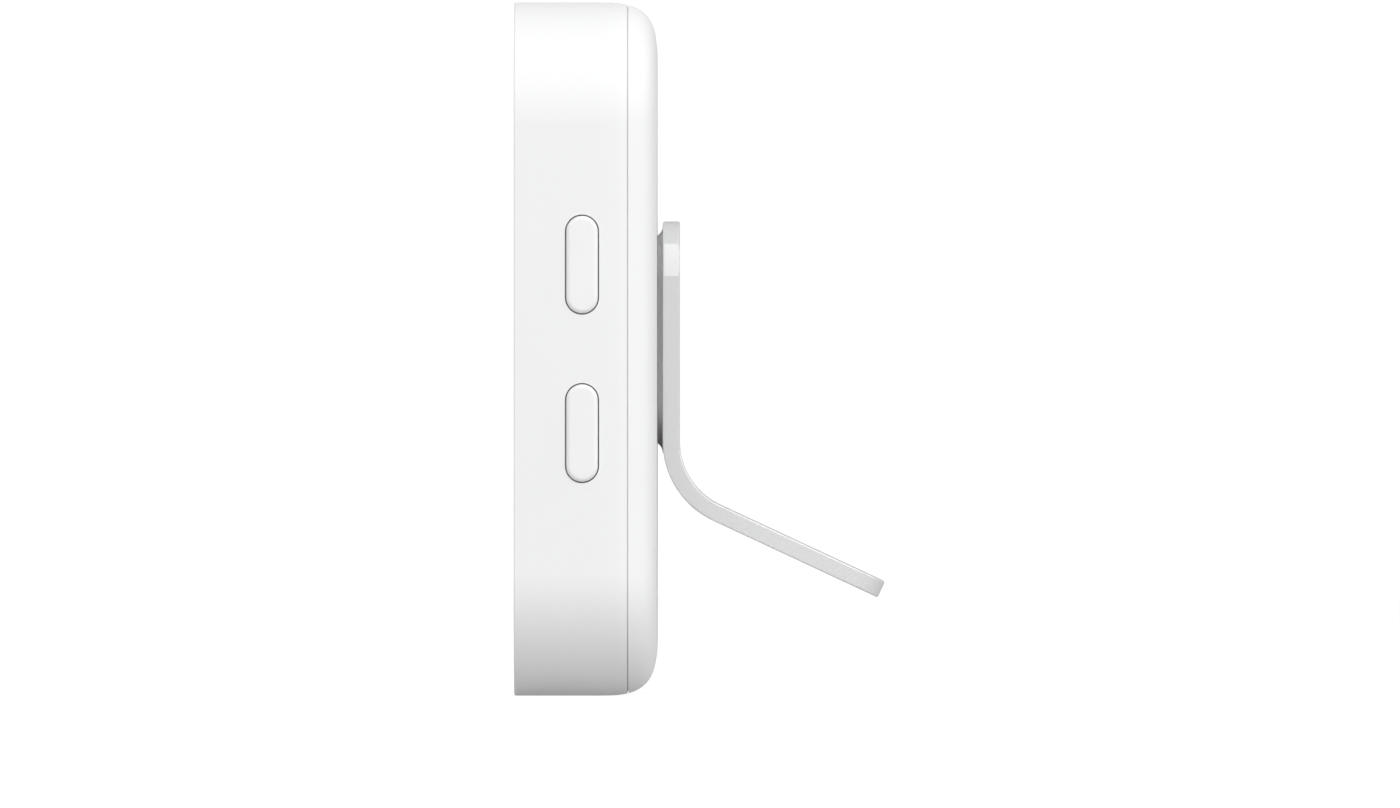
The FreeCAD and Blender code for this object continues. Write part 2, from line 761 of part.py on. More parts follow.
def side_key(z):
    """Key cap with a soft edge, a catch flange and a pressing nub."""
    outer = BODY_W / 2 + KEY_PROUD
    flange_x = BODY_W / 2 - WALL - PART_GAP
    cap = side_pill(KEY_CAP_W, KEY_CAP_H, flange_x - KEY_FLANGE_T / 2, outer, z)
    rim = [edge for edge in cap.Edges if edge.BoundBox.XMin > outer - TINY]
    cap = cap.makeFillet(KEY_EDGE_R, rim)
    wider = 2 * KEY_FLANGE_REACH
    flange = side_pill(KEY_CAP_W + wider, KEY_CAP_H + wider, flange_x - KEY_FLANGE_T, flange_x, z)
    nub_r = 1.2
    nub_t = 0.6
    nub = Part.makeCylinder(nub_r, nub_t, at(KEY_NUB_X, KEY_D, z), Vector(1, 0, 0))
    return fused(cap, [flange, nub])


def key_plunger(z):
    """Switch plunger, carried by the key's nub."""
    length = 1.0
    return Part.makeCylinder(PLUNGER_R, length, at(KEY_NUB_X - length, KEY_D, z), Vector(1, 0, 0))


def key_switches():
    """Two push switches on the key board."""
    front = KEY_BOARD_X + KEY_BOARD_T
    half_d = 1.8
    half_z = 3.0
    bore_r = PLUNGER_R + PART_GAP
    switches = []
    for z in KEY_ZS:
        body = block(front, front + KEY_SWITCH_T, KEY_D - half_d, KEY_D + half_d, z - half_z, z + half_z)
        bore = Part.makeCylinder(bore_r, KEY_SWITCH_T, at(front + PART_GAP, KEY_D, z), Vector(1, 0, 0))
        switches.append(body.cut(bore))
    return joined(switches)


def key_board():
    """Narrow board behind the side keys."""
    low = MID_Z - KEY_BOARD_HALF
    return block(KEY_BOARD_X, KEY_BOARD_X + KEY_BOARD_T, *KEY_BOARD_D, low, low + 2 * KEY_BOARD_HALF)


# ---------------------------------------------------------------- inside


def chassis_plate():
    """Stamped plate that carries the display, boards and battery."""
    around_button = 13.4
    around_pillar = PILLAR_R + 0.6
    screw_r = 1.2
    eye_half = 8.0
    eye_low = EYE_Z - 4.6
    flex_margin = 1.0
    flex_low = 31.0
    flex_high = 36.0
    flex_x0, flex_x1 = DISPLAY_FLEX_X
    shape = slab(PLATE_W, PLATE_H, PLATE_CORNER_R, PLATE_D, PLATE_BACK)
    cuts = [
        disc(around_button, PLATE_D, PLATE_BACK, 0, CALL_Z),
        block(-eye_half, eye_half, PLATE_D, PLATE_BACK, eye_low, BODY_H),
        block(flex_x0 - flex_margin, flex_x1 + flex_margin, PLATE_D, PLATE_BACK, flex_low, flex_high),
    ]
    cuts += [disc(around_pillar, PLATE_D, PLATE_BACK, x, z) for x, z in PILLARS]
    cuts += [disc(screw_r, PLATE_D, PLATE_BACK, x, z) for x, z in PLATE_SCREWS]
    cuts += [disc(PILOT_R, PLATE_D, PLATE_BACK, x, z) for x, z in BOARD_SCREWS + CRADLE_POSTS + CALL_SCREWS]
    for cut in cuts:
        shape = shape.cut(cut)
    return shape


def chassis_screws():
    """Screws that hold the chassis plate to the housing."""
    length = 3.4
    tip = PLATE_BACK - length
    shaft_r = 0.9
    head_r = 1.8
    head_t = 1.1
    return joined([screw(x, z, tip, PLATE_BACK, shaft_r, head_r, head_t) for x, z in PLATE_SCREWS])


def main_board():
    """Main circuit board."""
    corner = 2.0
    shape = slab(BOARD_W, BOARD_H, corner, BOARD_D, BOARD_BACK, z=BOARD_Z)
    return shape.cut(joined([disc(SCREW_HOLE_R, BOARD_D, BOARD_BACK, x, z) for x, z in BOARD_SCREWS]))


def board_spacers():
    """Spacers between the chassis plate and the main board."""
    outer_r = 2.2
    return joined([ring(outer_r, SCREW_HOLE_R, PLATE_BACK, BOARD_D, x, z) for x, z in BOARD_SCREWS])


def board_screws():
    """Alike screws that hold the main board, the call board and the battery cradle."""
    length = 3.6
    shaft_r = 0.8
    head_r = 1.7
    head_t = 1.0
    places = [(BOARD_BACK, x, z) for x, z in BOARD_SCREWS + CRADLE_POSTS]
    places += [(CALL_BOARD_BACK, x, z) for x, z in CALL_SCREWS]
    return joined([screw(x, z, seat - length, seat, shaft_r, head_r, head_t) for seat, x, z in places])


def processor():
    """Main processor, on the board's front side."""
    side = 14.0
    corner = 0.4
    return slab(side, side, corner, CHIP_D, BOARD_D, z=BOARD_Z)


def thermal_pad():
    """Soft pad that leads the processor's heat into the chassis plate."""
    side = 13.0
    corner = 0.5
    return slab(side, side, corner, PLATE_BACK, CHIP_D, z=BOARD_Z)


def memory_chips():
    """Memory chips beside the processor."""
    width = 9.0
    height = 12.0
    corner = 0.3
    offset = 16.0
    return joined([slab(width, height, corner, CHIP_D, BOARD_D, x=x, z=BOARD_Z) for x in (-offset, offset)])


def shield_can():
    """Pressed steel can over the power and radio circuits."""
    width = 36.0
    height = 28.0
    corner = 1.2
    sheet = 0.3
    thickness = 1.6
    back = BOARD_BACK + thickness
    x = -18.0
    z = 80.0
    hollow = slab(width - 2 * sheet, height - 2 * sheet, corner - sheet, BOARD_BACK, back - sheet, x, z)
    return slab(width, height, corner, BOARD_BACK, back, x, z).cut(hollow)


def radio_module():
    """Wireless module."""
    width = 16.0
    height = 13.0
    corner = 0.5
    thickness = 1.5
    x = 26.0
    z = 86.0
    return slab(width, height, corner, BOARD_BACK, BOARD_BACK + thickness, x, z)


def radio_antenna():
    """Antenna strip stuck to the inside of the wall."""
    inner_wall = WALL - BODY_W / 2
    glue = 0.02
    strip_t = 0.3
    front = 8.0
    back = 14.0
    low = MID_Z - 16.0
    high = MID_Z + 22.0
    return block(inner_wall + glue, inner_wall + glue + strip_t, front, back, low, high)


def board_connectors():
    """Sockets on the main board for the flexes and leads."""
    margin = 1.0
    height = 3.5
    low = BOARD_LOW + 1.0
    top = BOARD_LOW + BOARD_H - 1.5
    socket_back = 9.0
    places = [
        (DISPLAY_FLEX_X, DISPLAY_FLEX_D[1] + FLEX_T / 2, BOARD_D, low),
        (EYE_FLEX_X, EYE_BOARD_BACK + FLEX_T, BOARD_D, top - height),
        (CALL_FLEX_X, CALL_BOARD_BACK + FLEX_T, BOARD_D, low),
        (SOCKET_FLEX_X, BOARD_BACK, socket_back, low),
        (BATTERY_LEAD_X, BOARD_BACK, LEAD_SOCKET_BACK, low + height),
        (SPEAKER_LEAD_X, BOARD_BACK, LEAD_SOCKET_BACK, low),
    ]
    sockets = []
    for (x0, x1), front, back, z in places:
        sockets.append(block(x0 - margin, x1 + margin, front, back, z, z + height))
    return joined(sockets)


def board_flexes():
    """Flexes from the camera, call, key, microphone and socket boards to the main board."""
    top = BOARD_LOW + 4.0
    eye_low = BOARD_LOW + BOARD_H - 4.0
    eye_top = EYE_Z + 2.0
    call_low = CALL_Z + 7.0
    key_x = BOARD_W / 2 - 3.0
    key_low = BOARD_Z - 3.0
    key_top = BOARD_Z + 3.0
    mic_x = MIC_X + 6.5
    mic_end = mic_x + 3.0
    mic_low = MIC_BOARD_Z + MIC_BOARD_T
    socket_d = 9.0
    return joined([
        block(*EYE_FLEX_X, EYE_BOARD_BACK, EYE_BOARD_BACK + FLEX_T, eye_low, eye_top),
        block(*CALL_FLEX_X, CALL_BOARD_BACK, CALL_BOARD_BACK + FLEX_T, call_low, top),
        block(key_x, KEY_BOARD_X, BOARD_BACK, BOARD_BACK + FLEX_T, key_low, key_top),
        block(mic_x, mic_end, BOARD_D - FLEX_T, BOARD_D, mic_low, top),
        block(*SOCKET_FLEX_X, socket_d, socket_d + FLEX_T, SOCKET_BOARD_Z, top),
    ])


def battery_cradle():
    """Open tray for the battery, on four posts that hide their screws."""
    corner = 2.0
    inner_w = CRADLE_W - 2 * CRADLE_WALL
    inner_h = CRADLE_H - 2 * CRADLE_WALL
    tray = slab(CRADLE_W, CRADLE_H, corner, CRADLE_D, CRADLE_BACK, z=CRADLE_Z)
    tray = tray.cut(slab(inner_w, inner_h, corner / 2, CRADLE_D + CRADLE_FLOOR, CRADLE_BACK, z=CRADLE_Z))
    pieces = []
    for x, z in CRADLE_POSTS:
        pieces.append(disc(POST_R, PLATE_BACK, POST_BACK, x, z))
        low, high = sorted((math.copysign(CRADLE_W / 2 - CRADLE_WALL / 2, x), x))
        pieces.append(block(low, high, CRADLE_D, POST_BACK, z - POST_R, z + POST_R))
    shape = fused(tray, pieces)
    head_r = 1.9
    for x, z in CRADLE_POSTS:
        shape = shape.cut(disc(SCREW_HOLE_R, PLATE_BACK, BOARD_BACK, x, z))
        shape = shape.cut(disc(head_r, BOARD_BACK, POST_BACK, x, z))
    margin = 0.5
    front = 13.0
    low = CRADLE_Z - CRADLE_H / 2 - margin
    high = low + 2 * CRADLE_WALL
    x0, x1 = BATTERY_LEAD_X
    return shape.cut(block(x0 - margin, x1 + margin, front, CRADLE_BACK, low, high))


def battery_pack():
    """Flat rechargeable pouch cell."""
    margin = CRADLE_WALL + BATTERY_GAP
    slack = 0.05
    front = CRADLE_D + CRADLE_FLOOR + slack
    back = front + BATTERY_T
    corner = 2.0
    edge_r = 1.2
    shape = slab(CRADLE_W - 2 * margin, CRADLE_H - 2 * margin, corner, front, back, z=CRADLE_Z)
    return shape.makeFillet(edge_r, edges_at(shape, front) + edges_at(shape, back))


def battery_lead():
    """Lead from the battery to the main board."""
    clear = 0.15
    drop = 2.5
    overlap = 7.0
    tray_low = CRADLE_Z - CRADLE_H / 2
    start = tray_low + CRADLE_WALL + BATTERY_GAP - LEAD_T / 2 - clear
    outside = tray_low - drop
    high_d = 14.5
    low_d = LEAD_SOCKET_BACK + LEAD_T / 2
    path = [(high_d, start), (high_d, outside), (low_d, outside), (low_d, BOARD_LOW + overlap)]
    return ribbon(path, *BATTERY_LEAD_X, LEAD_T)


def speaker_enclosure():
    """Sealed air box behind the speaker, open below."""
    box = speaker_block(0, SPEAKER_Z, SPEAKER_TOP)
    upright = [edge for edge in box.Edges if edge.BoundBox.ZLength > SPEAKER_TOP - SPEAKER_Z - TINY]
    corner = 1.5
    return box.makeFillet(corner, upright).cut(speaker_block(BOX_WALL, SPEAKER_Z, SPEAKER_TOP - BOX_WALL))


def speaker_block(inset, z0, z1):
    """Box in the speaker's outline, a fixed distance inside it."""
    half = SPEAKER_W / 2 - inset
    return block(SPEAKER_X - half, SPEAKER_X + half, SPEAKER_D + inset, SPEAKER_BACK - inset, z0, z1)


def speaker_frame():
    """Frame of the oblong speaker."""
    height = 5.0
    frame = speaker_block(FRAME_INSET, SPEAKER_Z, SPEAKER_Z + height)
    return frame.cut(speaker_block(FRAME_INSET + FRAME_WALL, SPEAKER_Z, SPEAKER_Z + height))


def speaker_cone():
    """Diaphragm with a dust cap that points at the sound holes."""
    sheet_t = 0.4
    sheet_z = SPEAKER_Z + sheet_t
    cap_drop = 0.35
    cap_r = 1.2
    cap_base_r = 2.0
    foot = at(SPEAKER_X, SPEAKER_MID_D, sheet_z - cap_drop)
    cap = Part.makeCone(cap_r, cap_base_r, cap_drop, foot, Vector(0, 0, 1))
    return speaker_block(CONE_INSET, sheet_z, sheet_z + sheet_t).fuse(cap).removeSplitter()


def speaker_magnet():
    """Magnet and yoke of the speaker."""
    radius = 2.3
    height = 4.0
    rise = 1.6
    foot = at(SPEAKER_X, SPEAKER_MID_D, SPEAKER_Z + rise)
    return Part.makeCylinder(radius, height, foot, Vector(0, 0, 1))


def speaker_gasket():
    """Foam frame between the speaker and the underside."""
    slack = 0.05
    low = WALL + MESH_T + slack
    width = 1.5
    return speaker_block(0, low, SPEAKER_Z).cut(speaker_block(width, low, SPEAKER_Z))


def speaker_mesh():
    """Fine dust cloth over the sound holes."""
    return speaker_block(0, WALL, WALL + MESH_T)


def speaker_lead():
    """Lead from the speaker to the main board."""
    overlap = 3.0
    depth = LEAD_SOCKET_BACK + LEAD_T / 2
    path = [(depth, SPEAKER_TOP + LEAD_T / 2), (depth, BOARD_LOW + overlap)]
    return ribbon(path, *SPEAKER_LEAD_X, LEAD_T)


def microphone():
    """Microphone capsule, facing its hole in the underside."""
    half_w = 2.0
    half_d = 1.5
    low = WALL + MIC_BOOT_T
    return block(MIC_X - half_w, MIC_X + half_w, MIC_D - half_d, MIC_D + half_d, low, low + MIC_T)


def microphone_boot():
    """Rubber boot that seals the microphone to its hole."""
    foot = at(MIC_X, MIC_D, WALL)
    boot = Part.makeCylinder(MIC_BOOT_R, MIC_BOOT_T, foot, Vector(0, 0, 1))
    return boot.cut(Part.makeCylinder(MIC_HOLE_R, MIC_BOOT_T, foot, Vector(0, 0, 1)))


def microphone_board():
    """Small board above the microphone."""
    x0 = MIC_X - 4.0
    x1 = MIC_X + 10.0
    front = MIC_D - 3.0
    back = MIC_D + 3.5
    return block(x0, x1, front, back, MIC_BOARD_Z, MIC_BOARD_Z + MIC_BOARD_T)


def socket_board():
    """Board that carries the charging socket."""
    half = SOCKET_BOARD_HALF
    return block(-half, half, *SOCKET_BOARD_D, SOCKET_BOARD_Z, SOCKET_BOARD_Z + BOARD_T)


def charging_socket():
    """Steel shell of the charging socket."""
    front = SOCKET_MOUTH_D - SOCKET_L
    shell = socket_pill(0, 0, front, SOCKET_MOUTH_D)
    return shell.cut(socket_pill(-2 * SOCKET_WALL, -2 * SOCKET_WALL, front + SOCKET_END_T, SOCKET_MOUTH_D))


def socket_tongue():
    """Contact tongue in the middle of the socket."""
    half_w = 3.3
    half_t = 0.35
    recess = 0.9
    front = SOCKET_MOUTH_D - SOCKET_L + SOCKET_END_T
    return block(-half_w, half_w, front, SOCKET_MOUTH_D - recess, SOCKET_Z - half_t, SOCKET_Z + half_t)


# ---------------------------------------------------------------- desk stand


def leg_point(along, below):
    """(depth, height) on the leg: a distance past the bend, and below its upper surface."""
    turn = math.radians(180 + BEND_TURN)
    radius = BEND_R + below
    depth = BEND_CENTRE_D + radius * math.cos(turn) - along * math.sin(turn)
    z = BEND_Z + radius * math.sin(turn) + along * math.cos(turn)
    return depth, z


def bend_arc(radius):
    """The bend's start, middle and end at one radius."""
    turns = [math.radians(180 + BEND_TURN * share) for share in (0, 0.5, 1)]
    side = -STAND_W / 2
    return [at(side, BEND_CENTRE_D + radius * math.cos(a), BEND_Z + radius * math.sin(a)) for a in turns]


def bent_plate():
    """Plate, bend and leg, with rounded corners at both ends."""
    side = -STAND_W / 2
    rear = BODY_D + STAND_GAP + STAND_T
    front = BODY_D + STAND_GAP
    inner = bend_arc(BEND_R)
    outer = bend_arc(BEND_R + STAND_T)
    tip_upper = at(side, *leg_point(LEG_L, 0))
    tip_lower = at(side, *leg_point(LEG_L, STAND_T))
    top_rear = at(side, rear, STAND_TOP)
    top_front = at(side, front, STAND_TOP)
    edges = [
        Part.makeLine(top_rear, inner[0]),
        Part.Arc(*inner).toShape(),
        Part.makeLine(inner[2], tip_upper),
        Part.makeLine(tip_upper, tip_lower),
        Part.makeLine(tip_lower, outer[2]),
        Part.Arc(*reversed(outer)).toShape(),
        Part.makeLine(outer[0], top_front),
        Part.makeLine(top_front, top_rear),
    ]
    shape = Part.Face(Part.Wire(edges)).extrude(Vector(STAND_W, 0, 0))
    tip_y = min(tip_upper.y, tip_lower.y) - SNAP
    short = [edge for edge in shape.Edges if edge.Length < STAND_T + SNAP]
    upper = [edge for edge in short if edge.BoundBox.ZMin > STAND_TOP - SNAP]
    shape = shape.makeFillet(STAND_CORNER_R, upper)
    short = [edge for edge in shape.Edges if edge.Length < STAND_T + SNAP]
    shape = shape.makeFillet(STAND_TIP_R, [edge for edge in short if edge.BoundBox.YMin > tip_y])
    rims = [edge for edge in shape.Edges if edge.Length > STAND_T + SNAP]
    return shape.makeFillet(STAND_EDGE_R, rims)


def pad_cove():
    """Hollow fillet round the pad, running out onto the plate."""
    plate_d = BODY_D + STAND_GAP
    rise = STAND_GAP - PAD_CLEAR
    reach = math.sqrt(COVE_R ** 2 - (COVE_R - rise) ** 2)
    buried = STAND_T / 3
    inside = 1.0
    edge_x = PAD_W / 2
    z = PAD_Z + PAD_H / 2 - PAD_CORNER_R
    half_angle = math.asin(reach / COVE_R) / 2
    middle_x = edge_x + reach - COVE_R * math.sin(half_angle)
    middle_d = plate_d - COVE_R + COVE_R * math.cos(half_angle)
    crest = at(edge_x, plate_d - rise, z)
    toe = at(edge_x + reach, plate_d, z)
    under_toe = at(edge_x + reach, plate_d + buried, z)
    under_crest = at(edge_x - inside, plate_d + buried, z)
    behind_crest = at(edge_x - inside, plate_d - rise, z)
    edges = [
        Part.Arc(crest, at(middle_x, middle_d, z), toe).toShape(),
        Part.makeLine(toe, under_toe),
        Part.makeLine(under_toe, under_crest),
        Part.makeLine(under_crest, behind_crest),
        Part.makeLine(behind_crest, crest),
    ]
    section = Part.Face(Part.Wire(edges))
    return outline(PAD_W, PAD_H, PAD_CORNER_R, plate_d - rise, z=PAD_Z).makePipe(section)


def hook(x, z):
    """T-shaped hook: a neck through the cover's slot and a wider head behind its wall."""
    wall_clear = 0.15
    head_back = BACK_D - wall_clear
    head_front = head_back - HOOK_HEAD_T
    half_neck = HOOK_NECK_W / 2
    half_head = HOOK_HEAD_W / 2
    low = z - HOOK_NECK_H / 2
    high = z + HOOK_NECK_H / 2
    neck = block(x - half_neck, x + half_neck, head_front, BODY_D + STAND_GAP, low, high)
    return neck.fuse(block(x - half_head, x + half_head, head_front, head_back, low, high))


def stand_bracket():
    """Bent plate with its coved pad and four T-shaped hooks."""
    inset = 0.5
    width = PAD_W - 2 * inset
    height = PAD_H - 2 * inset
    pad_back = BODY_D + STAND_GAP + STAND_T / 3
    pad = slab(width, height, PAD_CORNER_R - inset, BODY_D + PAD_CLEAR, pad_back, z=PAD_Z)
    hooks = [hook(x, z) for x, z in HOOKS]
    shape = fused(bent_plate(), [pad, pad_cove()] + hooks)
    return shape.cut(foot_strip())


def foot_strip():
    """Anti-slip strip let into the leg's underside near its end."""
    start = LEG_L - STAND_T - FOOT_L
    corners = [(start, STAND_T), (start + FOOT_L, STAND_T), (start + FOOT_L, STAND_T - FOOT_T),
               (start, STAND_T - FOOT_T)]
    return prism([leg_point(along, below) for along, below in corners], FOOT_W)


def main():
    """Builds every sub-part and writes one file for each."""
    os.makedirs("parts", exist_ok=True)
    blank = body_blank()
    nodes = {
        "front_housing": front_housing(blank),
        "rear_cover": rear_cover(blank),
        "volume_up_button": side_key(KEY_ZS[0]),
        "volume_down_button": side_key(KEY_ZS[1]),
        "volume_up_plunger": key_plunger(KEY_ZS[0]),
        "volume_down_plunger": key_plunger(KEY_ZS[1]),
    }
    makers = (
        cover_screws, screw_inserts, cover_glass, glass_border_print, glass_adhesive, display_panel,
        display_backlight, display_flex, camera_gasket, camera_barrel, camera_lens, camera_board,
        call_button, bell_symbol, call_light_ring, call_plunger, call_switch, call_board, ring_lights,
        key_switches, key_board,
        chassis_plate, chassis_screws, main_board, board_spacers, board_screws, processor, thermal_pad,
        memory_chips, shield_can, radio_module, radio_antenna, board_connectors, board_flexes,
        battery_cradle,
        battery_pack, battery_lead, speaker_enclosure, speaker_frame, speaker_cone, speaker_magnet,
        speaker_gasket, speaker_mesh, speaker_lead, microphone, microphone_boot, microphone_board,
        socket_board, charging_socket, socket_tongue, stand_bracket, foot_strip,
    )
    for maker in makers:
        nodes[maker.__name__] = maker()
    for name, shape in nodes.items():
        shape.exportStep(f"parts/{name}.step")
        print(f"{name:22s} solids {len(shape.Solids)} volume {shape.Volume:10.1f} valid {shape.isValid()}")
    print(len(nodes), "nodes")


main()
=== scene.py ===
import json
import math
from functools import cached_property

import bpy
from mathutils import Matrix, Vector


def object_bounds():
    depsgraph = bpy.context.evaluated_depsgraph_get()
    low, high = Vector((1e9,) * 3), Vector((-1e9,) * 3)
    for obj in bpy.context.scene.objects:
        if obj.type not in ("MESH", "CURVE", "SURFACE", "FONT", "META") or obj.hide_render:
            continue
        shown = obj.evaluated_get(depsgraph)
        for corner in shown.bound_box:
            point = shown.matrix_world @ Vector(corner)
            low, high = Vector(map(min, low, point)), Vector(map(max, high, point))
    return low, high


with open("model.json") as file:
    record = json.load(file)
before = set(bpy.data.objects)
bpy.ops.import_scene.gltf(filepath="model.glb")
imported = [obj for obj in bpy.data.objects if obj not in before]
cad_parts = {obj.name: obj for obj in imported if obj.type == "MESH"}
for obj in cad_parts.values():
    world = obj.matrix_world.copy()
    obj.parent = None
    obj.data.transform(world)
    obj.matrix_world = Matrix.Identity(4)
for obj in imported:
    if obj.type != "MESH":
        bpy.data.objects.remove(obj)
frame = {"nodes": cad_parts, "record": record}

CAD_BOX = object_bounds()
NODES = frame["nodes"]
MM = 0.001

# ---- colours, scene-linear ----
WHITE = (0.86, 0.862, 0.864)
KEY_WHITE = (0.87, 0.872, 0.872)
# the stand is the casing's white plastic; this greyer tone is painted shade, standing in for the shade the
# body throws on the stand
STAND_SHADED_WHITE = (0.718, 0.72, 0.722)
IVORY = (0.62, 0.58, 0.47)
GREY = (0.3, 0.305, 0.31)
PLASTIC_BLACK = (0.018, 0.018, 0.02)
CHIP_BLACK = (0.022, 0.022, 0.025)
PAPER_BLACK = (0.03, 0.03, 0.032)
FOAM_BLACK = (0.02, 0.02, 0.021)
SHEET_STEEL = (0.56, 0.57, 0.58)
SCREW_STEEL = (0.62, 0.62, 0.64)
SOCKET_STEEL = (0.66, 0.66, 0.68)
BRASS = (0.72, 0.5, 0.2)
FOIL = (0.7, 0.71, 0.74)

# ---- colour pairs, each blended by a texture ----
INKS = ((0.006, 0.006, 0.007), (0.0068, 0.0068, 0.0076))
DISPLAY_BLUES = ((0.0135, 0.016, 0.0215), (0.015, 0.0178, 0.0235))
LENS_BLOOMS = ((0.012, 0.014, 0.045), (0.03, 0.016, 0.07))
GLASS_TINTS = ((0.9, 0.92, 0.92), (0.95, 0.97, 0.97))
FROSTS = ((0.48, 0.55, 0.59), (0.56, 0.63, 0.66))
SOLDER_MASKS = ((0.006, 0.085, 0.035), (0.01, 0.11, 0.045))
MASKED_TRACK = (0.02, 0.17, 0.06)
AMBERS = ((0.36, 0.15, 0.02), (0.52, 0.25, 0.05))
CLOTHS = ((0.008, 0.008, 0.009), (0.035, 0.035, 0.037))
RESINS = ((0.75, 0.66, 0.3), (0.85, 0.8, 0.55))

# ---- textures ----
WHOLE = (0.0, 1.0)
NOISE_REACH = (0.3, 0.7)  # nearly every value of a noise texture lies in here
EVEN = (1, 1, 1)
ALONG_X = (40, 1, 1)
ALONG_Y = (1, 30, 1)
CLOUD = {"scale": 38.0, "detail": 2.0}  # slow, faint drift in a moulding's tone
CLOUD_DEPTH = 0.985

# ---- camera: what it takes in is in metres, from the body's origin ----
SENSOR_MM = 36.0
LENS_MM = 900.0
CLIP_NEAR = 0.1
CLIP_FAR = 50.0
VIEW_WIDTH = 0.23347
VIEW_CENTRE_Y = 0.01913
VIEW_CENTRE_Z = 0.0488

# ---- lamps, floor and sky, in metres and watts ----
AIM = (0.0, 0.0, 0.058)
LAMPS = {
    "Key": {"place": (1.71, 0.16, 1.35), "size": (2.6, 3.0), "power": 40.0},
    "Front": {"place": (-2.0, -1.7, 0.8), "size": (1.2, 1.2), "power": 12.0},
    "Rear": {"place": (0.5, 2.0, 0.9), "size": (1.2, 1.2), "power": 12.0},
}
FLOOR_SIZE = 6.0
FLOOR_Z = -0.00004  # a hair below the underside, so that the two faces don't flicker
FLOOR_TONE = (0.25, 0.25, 0.25)
FLOOR_OWN_LIGHT = 0.3
FLOOR_GLOW = 1.85
FLOOR_GLOW_SHARE = 0.4
FULL_WHITE = (1.0, 1.0, 1.0)
SKY_AS_LIGHT = 0.48
SKY_SEEN = 1.05


# ------------------------------------------------------------ material kit


def opaque(tone):
    """A colour with its alpha."""
    return (*tone, 1.0)


def shade(tone, amount):
    """A colour made a little darker."""
    return tuple(channel * amount for channel in tone)


def split_by_camera(tree, share, hidden, seen):
    """One shader for camera rays and another for the rest, mixed by share and sent to the output."""
    both = tree.nodes.new("ShaderNodeMixShader")
    tree.links.new(share, both.inputs["Fac"])
    tree.links.new(hidden, both.inputs[1])
    tree.links.new(seen, both.inputs[2])
    tree.links.new(both.outputs["Shader"], tree.nodes["Material Output"].inputs["Surface"])


class Look:
    """A small helper round one node-based material."""

    def __init__(self, name):
        self.material = bpy.data.materials.new(name)
        self.material.use_nodes = True
        self.tree = self.material.node_tree
        self.shader = self.tree.nodes["Principled BSDF"]

    @cached_property
    def coords(self):
        """Coordinates fixed to the piece."""
        return self.node("ShaderNodeTexCoord").outputs["Object"]

    def node(self, kind, **values):
        """A new node with some of its properties set."""
        made = self.tree.nodes.new(kind)
        for key, value in values.items():
            setattr(made, key, value)
        return made

    def link(self, source, target):
        self.tree.links.new(source, target)

    def set(self, **values):
        """Sets sockets of the shader, named with _ for a space."""
        for key, value in values.items():
            self.shader.inputs[key.replace("_", " ")].default_value = value
        return self

    def noise(self, scale, detail=3.0, roughness=0.5, stretch=EVEN):
        """Noise texture in the piece's own coordinates, stretched by the mapping."""
        mapping = self.node("ShaderNodeMapping")
        mapping.inputs["Scale"].default_value = stretch
        self.link(self.coords, mapping.inputs["Vector"])
        texture = self.node("ShaderNodeTexNoise")
        texture.inputs["Scale"].default_value = scale
        texture.inputs["Detail"].default_value = detail
        texture.inputs["Roughness"].default_value = roughness
        self.link(mapping.outputs["Vector"], texture.inputs["Vector"])
        return texture.outputs["Fac"]

    def cells(self, scale):
        """Distance to the nearest cell centre."""
        texture = self.node("ShaderNodeTexVoronoi")
        texture.inputs["Scale"].default_value = scale
        self.link(self.coords, texture.inputs["Vector"])
        return texture.outputs["Distance"]

    def span(self, source, low, high, reach):
        """Maps a texture's reach onto low to high."""
        ranged = self.node("ShaderNodeMapRange")
        ranged.inputs["From Min"].default_value = reach[0]
        ranged.inputs["From Max"].default_value = reach[1]
        ranged.inputs["To Min"].default_value = low
        ranged.inputs["To Max"].default_value = high
        self.link(source, ranged.inputs["Value"])
        return ranged.outputs["Result"]

    def colour(self, factor, first, second):
        """Base colour blended from two tones."""
        mixed = self.node("ShaderNodeMix", data_type="RGBA")
        mixed.inputs["A"].default_value = opaque(first)
        mixed.inputs["B"].default_value = opaque(second)
        self.link(factor, mixed.inputs["Factor"])
        self.link(mixed.outputs["Result"], self.shader.inputs["Base Color"])

    def rough(self, source, low, high, reach=NOISE_REACH):
        """Roughness that a texture varies from low to high."""
        self.link(self.span(source, low, high, reach), self.shader.inputs["Roughness"])

    def bump(self, source, height_mm, strength):
        """Relief of a texture."""
        bump = self.node("ShaderNodeBump")
        bump.inputs["Strength"].default_value = strength
        bump.inputs["Distance"].default_value = height_mm * MM
        self.link(source, bump.inputs["Height"])
        self.link(bump.outputs["Normal"], self.shader.inputs["Normal"])


# ------------------------------------------------------------ materials


def satin_plastic(name, tone):
    """Moulded plastic with a fine spark-eroded grain."""
    look = Look(name).set(Specular_IOR_Level=0.35)
    grain = look.noise(scale=2600.0, detail=2.0, roughness=0.6)
    look.colour(look.noise(**CLOUD), shade(tone, amount=CLOUD_DEPTH), tone)
    look.rough(grain, low=0.5, high=0.6)
    look.bump(grain, height_mm=0.002, strength=0.2)
    return look.material


def glossy_moulding(name, tone):
    """Polished plastic moulding with a glassy skin."""
    look = Look(name).set(Specular_IOR_Level=0.9, Coat_Weight=0.9, Coat_Roughness=0.06)
    look.colour(look.noise(**CLOUD), shade(tone, amount=CLOUD_DEPTH), tone)
    look.rough(look.noise(scale=500.0), low=0.09, high=0.11)
    return look.material


